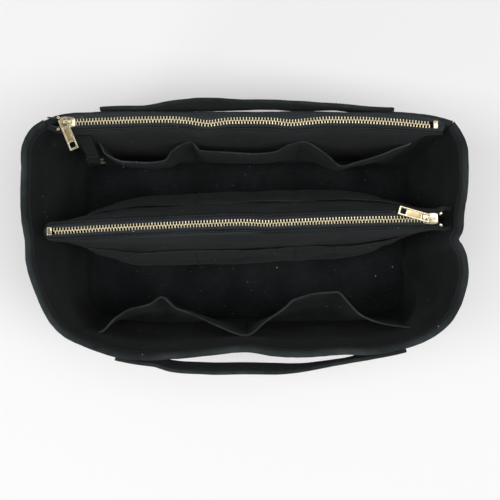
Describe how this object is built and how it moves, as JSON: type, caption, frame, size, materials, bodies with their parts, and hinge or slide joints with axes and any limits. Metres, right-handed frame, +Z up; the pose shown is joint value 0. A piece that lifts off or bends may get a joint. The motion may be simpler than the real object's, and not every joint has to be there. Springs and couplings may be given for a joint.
{
  "type": "purse organizer insert",
  "caption": "Open canvas tray with padded walls that stands in a handbag: zipped rear pocket, zipped middle pouch, slip pockets, grab straps and a key clasp.",
  "frame": {"origin": "centre of the base's underside", "axes": "+Z up out of the open top, +X along the long side to the right, +Y to the zipped rear wall"},
  "size_m": [0.3413, 0.2153, 0.1719],
  "materials": {
    "canvas": "matte black cotton canvas, plain weave",
    "lining": "matte black cotton canvas inside",
    "padding": "quilting foam, hidden",
    "board": "stiff plastic board, hidden",
    "tape": "woven blue-grey black zipper tape",
    "webbing": "matte black cotton strap",
    "brass": "polished pale gold plating",
    "steel": "plain pin and spring steel"
  },
  "bodies": {
    "organizer": {"outer_wrap": "canvas", "padding_wrap": "padding", "lining_wrap": "lining", "rim_binding": "canvas", "outer_rear": "canvas", "padding_rear": "padding", "lining_rear": "lining", "rear_rim_binding": "canvas", "base_outer": "canvas", "base_board": "board", "base_lining": "lining", "rear_zip_rear_teeth": "brass", "rear_zip_front_teeth": "brass", "rear_zip_box_stop": "brass", "rear_zip_rear_top_stop": "brass", "rear_zip_front_top_stop": "brass", "rear_zip_front_tape": "tape", "rear_zip_rear_tape": "tape", "rear_zip_pocket_panel": "lining", "middle_zip_front_teeth": "brass", "middle_zip_rear_teeth": "brass", "middle_zip_box_stop": "brass", "middle_zip_front_top_stop": "brass", "middle_zip_rear_top_stop": "brass", "middle_zip_front_tape": "tape", "middle_zip_rear_tape": "tape", "rear_slip_pockets": "lining", "front_slip_pockets": "lining", "pouch_front_panel": "lining", "pouch_rear_panel": "lining", "pouch_front_slip_pockets": "lining", "pouch_rear_slip_pockets": "lining", "front_handle_left_end": "webbing", "front_handle_right_end": "webbing", "rear_handle_left_end": "webbing", "rear_handle_right_end": "webbing"},
    "rear_slider": {"rear_zip_slider": "brass", "rear_zip_slider_lower_plate": "brass"},
    "rear_pull": {"rear_zip_pull": "brass"},
    "middle_slider": {"middle_zip_slider": "brass", "middle_zip_slider_lower_plate": "brass"},
    "middle_pull": {"middle_zip_pull": "brass"},
    "front_grab_strap": {"front_handle": "webbing"},
    "rear_grab_strap": {"rear_handle": "webbing"},
    "key_strap": {"key_strap": "webbing"},
    "clasp_eye": {"clasp_eye": "brass"},
    "clasp_hook": {"clasp_hook": "brass", "clasp_pin": "steel", "clasp_spring": "steel"},
    "clasp_gate": {"clasp_gate": "brass"}
  },
  "joints": [
    {"name": "rear_zip_slide", "type": "slide", "parent": "organizer", "child": "rear_slider", "axis": [1, -0.006, 0], "range_m": [0, 0.272]},
    {"name": "rear_pull_swivel", "type": "hinge", "parent": "rear_slider", "child": "rear_pull", "pos_m": [-0.138, 0.08918, 0.1693], "axis": [0, 0, 1], "range_deg": [-100, 10]},
    {"name": "middle_zip_slide", "type": "slide", "parent": "organizer", "child": "middle_slider", "axis": [-0.9994, -0.0332, 0], "range_m": [0, 0.283]},
    {"name": "middle_pull_lift", "type": "hinge", "parent": "middle_slider", "child": "middle_pull", "pos_m": [0.1403, 0.01597, 0.1667], "axis": [0.276, 0.9611, 0], "range_deg": [0, 125]},
    {"name": "front_strap_swing", "type": "hinge", "parent": "organizer", "child": "front_grab_strap", "pos_m": [0.0137, -0.099, 0.16], "axis": [-1, 0, 0], "range_deg": [-6, 60]},
    {"name": "rear_strap_swing", "type": "hinge", "parent": "organizer", "child": "rear_grab_strap", "pos_m": [0.0038, 0.105, 0.16], "axis": [1, 0, 0], "range_deg": [-6, 60]},
    {"name": "key_strap_swing", "type": "hinge", "parent": "organizer", "child": "key_strap", "pos_m": [-0.1255, 0.0808, 0.15], "axis": [-1, 0, 0], "range_deg": [0, 12]},
    {"name": "eye_swing", "type": "hinge", "parent": "key_strap", "child": "clasp_eye", "pos_m": [-0.1255, 0.06702, 0.09867], "axis": [-1, 0, 0], "range_deg": [0, 30]},
    {"name": "hook_swivel", "type": "hinge", "parent": "clasp_eye", "child": "clasp_hook", "pos_m": [-0.1255, 0.06702, 0.0883], "axis": [0, 0, 1], "continuous": true},
    {"name": "gate_turn", "type": "hinge", "parent": "clasp_hook", "child": "clasp_gate", "pos_m": [-0.1214, 0.06702, 0.08277], "axis": [0, 1, 0], "range_deg": [0, 28], "stiffness_Nm_per_rad": 0.01, "springref_deg": -17.19}
  ]
}
